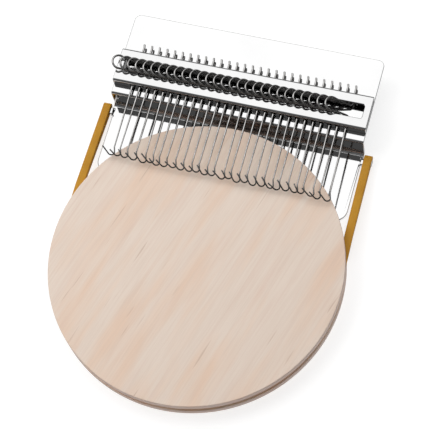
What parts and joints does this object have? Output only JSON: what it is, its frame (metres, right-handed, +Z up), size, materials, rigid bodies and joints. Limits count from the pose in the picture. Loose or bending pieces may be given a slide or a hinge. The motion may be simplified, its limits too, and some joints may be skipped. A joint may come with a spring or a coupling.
{
  "type": "darning loom",
  "caption": "Small darning loom: bent steel plate with a bridge of flip-over wire hooks, and a grooved wooden disc held on its tongue by a rubber band.",
  "frame": {"origin": "centre of the underside of the plate's tongue, the face the loom lies on", "axes": "+Z up, +Y from the wooden disc towards the pins at the rear, +X to the right"},
  "size_m": [0.1085, 0.1473, 0.0166],
  "materials": {
    "mirror_steel": "mirror-polished stainless sheet",
    "wire_steel": "bright drawn stainless wire",
    "pale_pine": "bare sanded pine",
    "ochre_rubber": "matt rubber band"
  },
  "bodies": {
    "loom_head": {"base_plate": "mirror_steel", "hook_bridge": "mirror_steel", "wooden_disc": "pale_pine", "elastic_band": "ochre_rubber"},
    "hook_01_body": {"hook_01": "wire_steel"},
    "hook_02_body": {"hook_02": "wire_steel"},
    "hook_03_body": {"hook_03": "wire_steel"},
    "hook_04_body": {"hook_04": "wire_steel"},
    "hook_05_body": {"hook_05": "wire_steel"},
    "hook_06_body": {"hook_06": "wire_steel"},
    "hook_07_body": {"hook_07": "wire_steel"},
    "hook_08_body": {"hook_08": "wire_steel"},
    "hook_09_body": {"hook_09": "wire_steel"},
    "hook_10_body": {"hook_10": "wire_steel"},
    "hook_11_body": {"hook_11": "wire_steel"},
    "hook_12_body": {"hook_12": "wire_steel"},
    "hook_13_body": {"hook_13": "wire_steel"},
    "hook_14_body": {"hook_14": "wire_steel"},
    "hook_15_body": {"hook_15": "wire_steel"},
    "hook_16_body": {"hook_16": "wire_steel"},
    "hook_17_body": {"hook_17": "wire_steel"},
    "hook_18_body": {"hook_18": "wire_steel"},
    "hook_19_body": {"hook_19": "wire_steel"},
    "hook_20_body": {"hook_20": "wire_steel"},
    "hook_21_body": {"hook_21": "wire_steel"},
    "hook_22_body": {"hook_22": "wire_steel"},
    "hook_23_body": {"hook_23": "wire_steel"},
    "hook_24_body": {"hook_24": "wire_steel"},
    "hook_25_body": {"hook_25": "wire_steel"},
    "hook_26_body": {"hook_26": "wire_steel"},
    "hook_27_body": {"hook_27": "wire_steel"},
    "hook_28_body": {"hook_28": "wire_steel"}
  },
  "joints": [
    {"name": "hook_01_flip", "type": "hinge", "parent": "loom_head", "child": "hook_01_body", "pos_m": [-0.04131, 0.0182, 0.0115], "axis": [0, 1, 0], "range_deg": [0, 124]},
    {"name": "hook_02_flip", "type": "hinge", "parent": "loom_head", "child": "hook_02_body", "pos_m": [-0.03825, 0.0182, 0.0115], "axis": [0, 1, 0], "range_deg": [0, 124]},
    {"name": "hook_03_flip", "type": "hinge", "parent": "loom_head", "child": "hook_03_body", "pos_m": [-0.03519, 0.0182, 0.0115], "axis": [0, 1, 0], "range_deg": [0, 124]},
    {"name": "hook_04_flip", "type": "hinge", "parent": "loom_head", "child": "hook_04_body", "pos_m": [-0.03213, 0.0182, 0.0115], "axis": [0, 1, 0], "range_deg": [0, 124]},
    {"name": "hook_05_flip", "type": "hinge", "parent": "loom_head", "child": "hook_05_body", "pos_m": [-0.02907, 0.0182, 0.0115], "axis": [0, 1, 0], "range_deg": [0, 124]},
    {"name": "hook_06_flip", "type": "hinge", "parent": "loom_head", "child": "hook_06_body", "pos_m": [-0.02601, 0.0182, 0.0115], "axis": [0, 1, 0], "range_deg": [0, 124]},
    {"name": "hook_07_flip", "type": "hinge", "parent": "loom_head", "child": "hook_07_body", "pos_m": [-0.02295, 0.0182, 0.0115], "axis": [0, 1, 0], "range_deg": [0, 124]},
    {"name": "hook_08_flip", "type": "hinge", "parent": "loom_head", "child": "hook_08_body", "pos_m": [-0.01989, 0.0182, 0.0115], "axis": [0, 1, 0], "range_deg": [0, 124]},
    {"name": "hook_09_flip", "type": "hinge", "parent": "loom_head", "child": "hook_09_body", "pos_m": [-0.01683, 0.0182, 0.0115], "axis": [0, 1, 0], "range_deg": [0, 124]},
    {"name": "hook_10_flip", "type": "hinge", "parent": "loom_head", "child": "hook_10_body", "pos_m": [-0.01377, 0.0182, 0.0115], "axis": [0, 1, 0], "range_deg": [0, 124]},
    {"name": "hook_11_flip", "type": "hinge", "parent": "loom_head", "child": "hook_11_body", "pos_m": [-0.01071, 0.0182, 0.0115], "axis": [0, 1, 0], "range_deg": [0, 124]},
    {"name": "hook_12_flip", "type": "hinge", "parent": "loom_head", "child": "hook_12_body", "pos_m": [-0.00765, 0.0182, 0.0115], "axis": [0, 1, 0], "range_deg": [0, 124]},
    {"name": "hook_13_flip", "type": "hinge", "parent": "loom_head", "child": "hook_13_body", "pos_m": [-0.00459, 0.0182, 0.0115], "axis": [0, 1, 0], "range_deg": [0, 124]},
    {"name": "hook_14_flip", "type": "hinge", "parent": "loom_head", "child": "hook_14_body", "pos_m": [-0.00153, 0.0182, 0.0115], "axis": [0, 1, 0], "range_deg": [0, 124]},
    {"name": "hook_15_flip", "type": "hinge", "parent": "loom_head", "child": "hook_15_body", "pos_m": [0.00153, 0.0182, 0.0115], "axis": [0, 1, 0], "range_deg": [0, 124]},
    {"name": "hook_16_flip", "type": "hinge", "parent": "loom_head", "child": "hook_16_body", "pos_m": [0.00459, 0.0182, 0.0115], "axis": [0, 1, 0], "range_deg": [0, 124]},
    {"name": "hook_17_flip", "type": "hinge", "parent": "loom_head", "child": "hook_17_body", "pos_m": [0.00765, 0.0182, 0.0115], "axis": [0, 1, 0], "range_deg": [0, 124]},
    {"name": "hook_18_flip", "type": "hinge", "parent": "loom_head", "child": "hook_18_body", "pos_m": [0.01071, 0.0182, 0.0115], "axis": [0, 1, 0], "range_deg": [0, 124]},
    {"name": "hook_19_flip", "type": "hinge", "parent": "loom_head", "child": "hook_19_body", "pos_m": [0.01377, 0.0182, 0.0115], "axis": [0, 1, 0], "range_deg": [0, 124]},
    {"name": "hook_20_flip", "type": "hinge", "parent": "loom_head", "child": "hook_20_body", "pos_m": [0.01683, 0.0182, 0.0115], "axis": [0, 1, 0], "range_deg": [0, 124]},
    {"name": "hook_21_flip", "type": "hinge", "parent": "loom_head", "child": "hook_21_body", "pos_m": [0.01989, 0.0182, 0.0115], "axis": [0, 1, 0], "range_deg": [0, 124]},
    {"name": "hook_22_flip", "type": "hinge", "parent": "loom_head", "child": "hook_22_body", "pos_m": [0.02295, 0.0182, 0.0115], "axis": [0, 1, 0], "range_deg": [0, 124]},
    {"name": "hook_23_flip", "type": "hinge", "parent": "loom_head", "child": "hook_23_body", "pos_m": [0.02601, 0.0182, 0.0115], "axis": [0, 1, 0], "range_deg": [0, 124]},
    {"name": "hook_24_flip", "type": "hinge", "parent": "loom_head", "child": "hook_24_body", "pos_m": [0.02907, 0.0182, 0.0115], "axis": [0, 1, 0], "range_deg": [0, 124]},
    {"name": "hook_25_flip", "type": "hinge", "parent": "loom_head", "child": "hook_25_body", "pos_m": [0.03213, 0.0182, 0.0115], "axis": [0, 1, 0], "range_deg": [0, 124]},
    {"name": "hook_26_flip", "type": "hinge", "parent": "loom_head", "child": "hook_26_body", "pos_m": [0.03519, 0.0182, 0.0115], "axis": [0, 1, 0], "range_deg": [0, 124]},
    {"name": "hook_27_flip", "type": "hinge", "parent": "loom_head", "child": "hook_27_body", "pos_m": [0.03825, 0.0182, 0.0115], "axis": [0, 1, 0], "range_deg": [0, 124]},
    {"name": "hook_28_flip", "type": "hinge", "parent": "loom_head", "child": "hook_28_body", "pos_m": [0.04131, 0.0182, 0.0115], "axis": [0, 1, 0], "range_deg": [0, 124]}
  ],
  "couplings": [
    {"joint": "hook_02_flip", "follows": "hook_01_flip", "ratio": 1},
    {"joint": "hook_03_flip", "follows": "hook_01_flip", "ratio": 1},
    {"joint": "hook_04_flip", "follows": "hook_01_flip", "ratio": 1},
    {"joint": "hook_05_flip", "follows": "hook_01_flip", "ratio": 1},
    {"joint": "hook_06_flip", "follows": "hook_01_flip", "ratio": 1},
    {"joint": "hook_07_flip", "follows": "hook_01_flip", "ratio": 1},
    {"joint": "hook_08_flip", "follows": "hook_01_flip", "ratio": 1},
    {"joint": "hook_09_flip", "follows": "hook_01_flip", "ratio": 1},
    {"joint": "hook_10_flip", "follows": "hook_01_flip", "ratio": 1},
    {"joint": "hook_11_flip", "follows": "hook_01_flip", "ratio": 1},
    {"joint": "hook_12_flip", "follows": "hook_01_flip", "ratio": 1},
    {"joint": "hook_13_flip", "follows": "hook_01_flip", "ratio": 1},
    {"joint": "hook_14_flip", "follows": "hook_01_flip", "ratio": 1},
    {"joint": "hook_15_flip", "follows": "hook_01_flip", "ratio": 1},
    {"joint": "hook_16_flip", "follows": "hook_01_flip", "ratio": 1},
    {"joint": "hook_17_flip", "follows": "hook_01_flip", "ratio": 1},
    {"joint": "hook_18_flip", "follows": "hook_01_flip", "ratio": 1},
    {"joint": "hook_19_flip", "follows": "hook_01_flip", "ratio": 1},
    {"joint": "hook_20_flip", "follows": "hook_01_flip", "ratio": 1},
    {"joint": "hook_21_flip", "follows": "hook_01_flip", "ratio": 1},
    {"joint": "hook_22_flip", "follows": "hook_01_flip", "ratio": 1},
    {"joint": "hook_23_flip", "follows": "hook_01_flip", "ratio": 1},
    {"joint": "hook_24_flip", "follows": "hook_01_flip", "ratio": 1},
    {"joint": "hook_25_flip", "follows": "hook_01_flip", "ratio": 1},
    {"joint": "hook_26_flip", "follows": "hook_01_flip", "ratio": 1},
    {"joint": "hook_27_flip", "follows": "hook_01_flip", "ratio": 1},
    {"joint": "hook_28_flip", "follows": "hook_01_flip", "ratio": 1}
  ]
}
